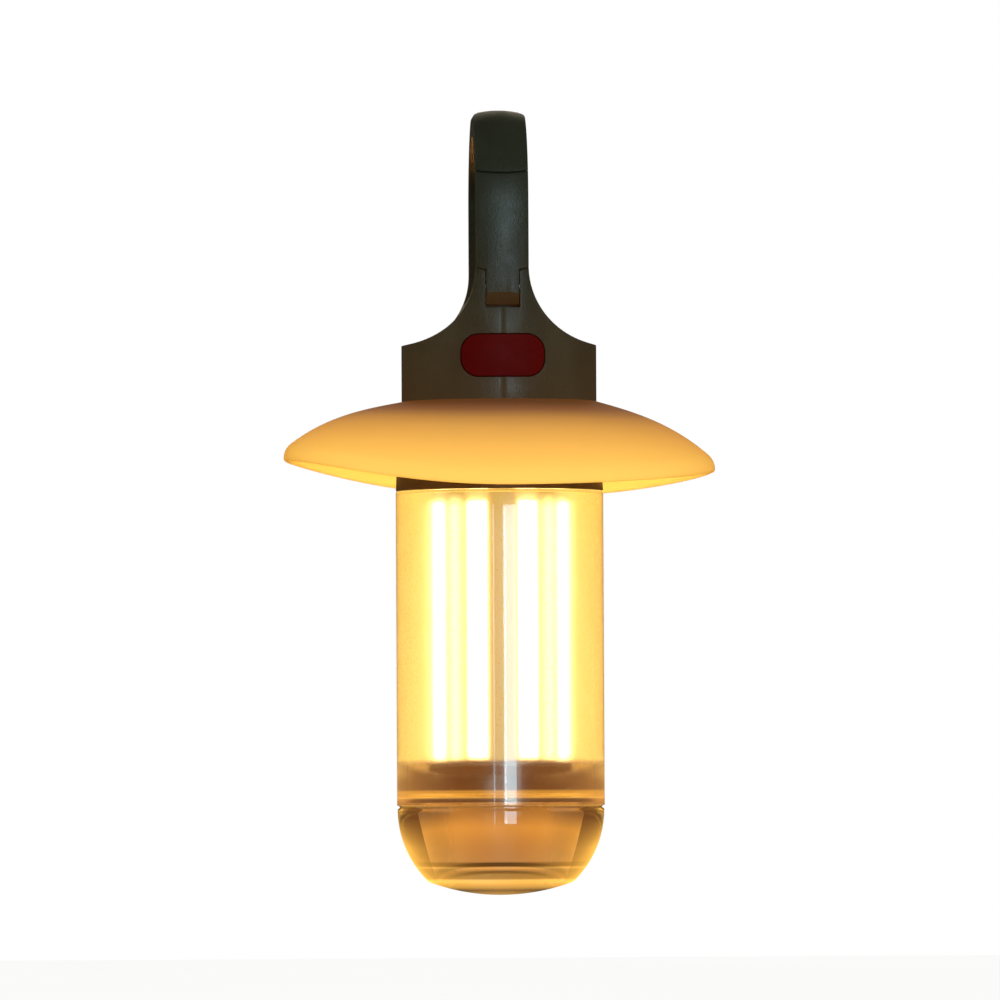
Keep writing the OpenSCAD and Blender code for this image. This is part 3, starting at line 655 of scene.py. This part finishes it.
def wire(name, points, r, node, body=None, around=12):
    """A round wire through points that lie near one plane across X, closed at both ends."""
    mesh = bmesh.new()
    rings = []
    for i, here in enumerate(points):
        along = (points[min(i + 1, len(points) - 1)] - points[max(i - 1, 0)]).normalized()
        side = (Vector((1, 0, 0)) - along * along.x).normalized()
        up = along.cross(side)
        turns = [2 * math.pi * k / around for k in range(around)]
        rings.append([mesh.verts.new(here + r * (math.cos(a) * side + math.sin(a) * up))
                      for a in turns])
    for a, b in zip(rings, rings[1:]):
        for k in range(around):
            n = (k + 1) % around
            mesh.faces.new([a[k], b[k], b[n], a[n]]).smooth = True
    mesh.faces.new(rings[0])
    mesh.faces.new(rings[-1])
    return piece(name, finished(mesh, name), node, body=body)


def make_gate_spring():
    """The gate's spring, in millimetres: a leg that swings with the gate, and a coil on the pin."""
    pin = (low("gate_hinge_pin") + high("gate_hinge_pin")) / 2
    coil_x, coil_r, turns, steps, wire_r = 1.1, 1.75, 2.5, 60, 0.25
    leg_y = 0.95

    def at(x, y, z):
        """A place in millimetres from the pin's axis, and from the lantern's middle plane."""
        return pin + Vector((x, y, z)) * MM - Vector((pin.x, 0, 0))

    leg = [at(coil_x, y, z) for y, z in ((leg_y, 9), (leg_y, 6), (leg_y, 3.6),
                                         (leg_y - 0.05, 2.75), (leg_y - 0.35, 2.05))]
    coil = []
    for i in range(steps + 1):
        a = math.radians(turns * 360 * i / steps - 90)
        coil.append(at(coil_x * (1 - 2 * i / steps), -coil_r * math.cos(a), -coil_r * math.sin(a)))
    foot = [at(-coil_x, y, z - coil_r) for y, z in ((1, 0), (2.6, 0), (3.5, -0.6), (4.25, -1.2))]
    wire("gate_spring_coil", coil + foot, wire_r * MM, "gate_spring")
    wire("gate_spring_leg", leg, wire_r * MM, "gate_spring", "gate")


def soften(node, width):
    """Rounds a CAD node's sharp edges with modifiers; its own mesh stays as it is."""
    made = NODES[node]
    weld = made.modifiers.new("weld", "WELD")
    weld.merge_threshold = 1e-6
    bevel = made.modifiers.new("soften", "BEVEL")
    bevel.width = width
    bevel.segments = 3
    bevel.limit_method = "ANGLE"
    bevel.angle_limit = math.radians(40)


for node_name, edge in (("gate", 0.25), ("button", 0.25), ("left_shell", 0.12),
                        ("right_shell", 0.12)):
    soften(node_name, edge * MM)
make_shade()
cap = make_cap()
tube = make_tube()
make_neck_ring()
make_gate_spring()
for clear_piece in (cap, tube):
    clear_piece.visible_shadow = False


# ---------------------------------------------------------------- stage, light and camera

def area_light(name, place, target, size, power, colour=(1, 1, 1), only_gloss=False):
    """A rectangular light that points at target, hidden from the eye and through clear parts."""
    data = bpy.data.lights.new(name, "AREA")
    data.shape = "RECTANGLE"
    data.size, data.size_y = size
    data.energy = power
    data.color = colour
    made = bpy.data.objects.new(name, data)
    bpy.context.scene.collection.objects.link(made)
    made.location = place
    made.rotation_euler = (Vector(target) - Vector(place)).to_track_quat("-Z", "Y").to_euler()
    made.visible_camera = False
    made.visible_transmission = False
    made.visible_diffuse = not only_gloss
    return made


def place_at(azimuth, distance, height):
    """A place at an azimuth that a camera would have, 0 in front of the lantern."""
    a = math.radians(azimuth)
    return Vector((math.sin(a) * distance, -math.cos(a) * distance, height))


MIDDLE = Vector((0, 0, (cad_bounds[0].z + cad_bounds[1].z) / 2))
COOL = (0.56, 0.86, 1.0)
DIM_WARM = (1.0, 0.85, 0.65)
# Strips that only a gloss shows, and dim fills from all sides.
area_light("strip_right", place_at(8.0, 1.3, MIDDLE.z), MIDDLE, (0.31, 0.9), 8.0, COOL, True)
area_light("strip_left", place_at(-9.5, 1.3, MIDDLE.z), MIDDLE, (0.03, 0.9), 0.6, COOL, True)
area_light("strip_edge", place_at(3.1, 1.31, MIDDLE.z), MIDDLE, (0.012, 0.9), 0.9, only_gloss=True)
area_light("fill_front", place_at(10, 1.4, 0.1), MIDDLE, (0.5, 0.9), 1.6)
area_light("fill_left", place_at(-75, 1.2, 0.35), MIDDLE, (0.8, 0.8), 1.5, DIM_WARM)
area_light("fill_right", place_at(75, 1.2, 0.35), MIDDLE, (0.8, 0.8), 1.5, DIM_WARM)
area_light("fill_back", place_at(180, 1.2, 0.45), MIDDLE, (0.9, 0.6), 1.5, DIM_WARM)

# Warm light from below on the inner face of the handle's arch.
uplight = area_light("uplight", (0, 0, above_base(116)), (0, 0, above_base(140)),
                     (0.006, 0.006), 0.0022, (1.0, 0.34, 0.09))
uplight.data.spread = math.radians(55)
uplight.visible_glossy = False


def make_world():
    """White behind the lantern, and a dim warm room for everything that it reflects."""
    world = bpy.data.worlds.new("studio")
    bpy.context.scene.world = world
    world.use_nodes = True
    tree = world.node_tree
    path = tree.nodes.new("ShaderNodeLightPath")

    def background(colour):
        made = tree.nodes.new("ShaderNodeBackground")
        made.inputs["Color"].default_value = (*colour, 1)
        return made.outputs["Background"]

    def switch(ray, other, chosen):
        """chosen for one kind of ray, and other for the rest."""
        made = tree.nodes.new("ShaderNodeMixShader")
        tree.links.new(path.outputs[ray], made.inputs["Fac"])
        tree.links.new(other, made.inputs[1])
        tree.links.new(chosen, made.inputs[2])
        return made.outputs["Shader"]

    room, through_plastic, white = (0.036, 0.032, 0.028), (0.19, 0.07, 0.017), (1, 1, 1)
    unseen = switch("Is Transmission Ray", background(room), background(through_plastic))
    shown = switch("Is Camera Ray", unseen, background(white))
    tree.links.new(shown, tree.nodes["World Output"].inputs["Surface"])


def make_floor():
    """A plain pale floor below the hanging lantern."""
    look = Look("pale_floor")
    look.set(Base_Color=look.levels(look.noise(3, 2), [(0.3, 0.93), (0.7, 0.96)]), Roughness=0.9)
    look.shine(look.levels(look.noise(2, 1), [(0.3, 0.99), (0.7, 1.0)]), 0.93)
    width, below = 12, 0.12
    bpy.ops.mesh.primitive_plane_add(size=width, location=(0, 0, BASE_Z - below))
    floor = bpy.context.object
    floor.name = "floor"
    floor.data.materials.append(look.material)
    floor.visible_diffuse = False
    floor.visible_glossy = False
    floor.visible_transmission = False


def make_camera():
    """A long lens, a little to the left of the front and near the height of the cap."""
    distance, width = 1.9, 0.1928
    lean = math.radians(0.28)
    place, aim = place_at(-2.6, distance, above_base(22)), Vector((0.0001, 0, above_base(76.1)))
    data = bpy.data.cameras.new("camera")
    data.sensor_width = 36
    data.lens = data.sensor_width * distance / width
    camera = bpy.data.objects.new("camera", data)
    bpy.context.scene.collection.objects.link(camera)
    camera.location = place
    back = (place - aim).normalized()
    up = Vector((math.sin(lean), 0, math.cos(lean)))
    right = up.cross(back).normalized()
    up = back.cross(right)
    camera.rotation_euler = Matrix((right, up, back)).transposed().to_euler()
    bpy.context.scene.camera = camera


make_world()
make_floor()
make_camera()
bpy.context.scene.view_settings.view_transform = "Standard"
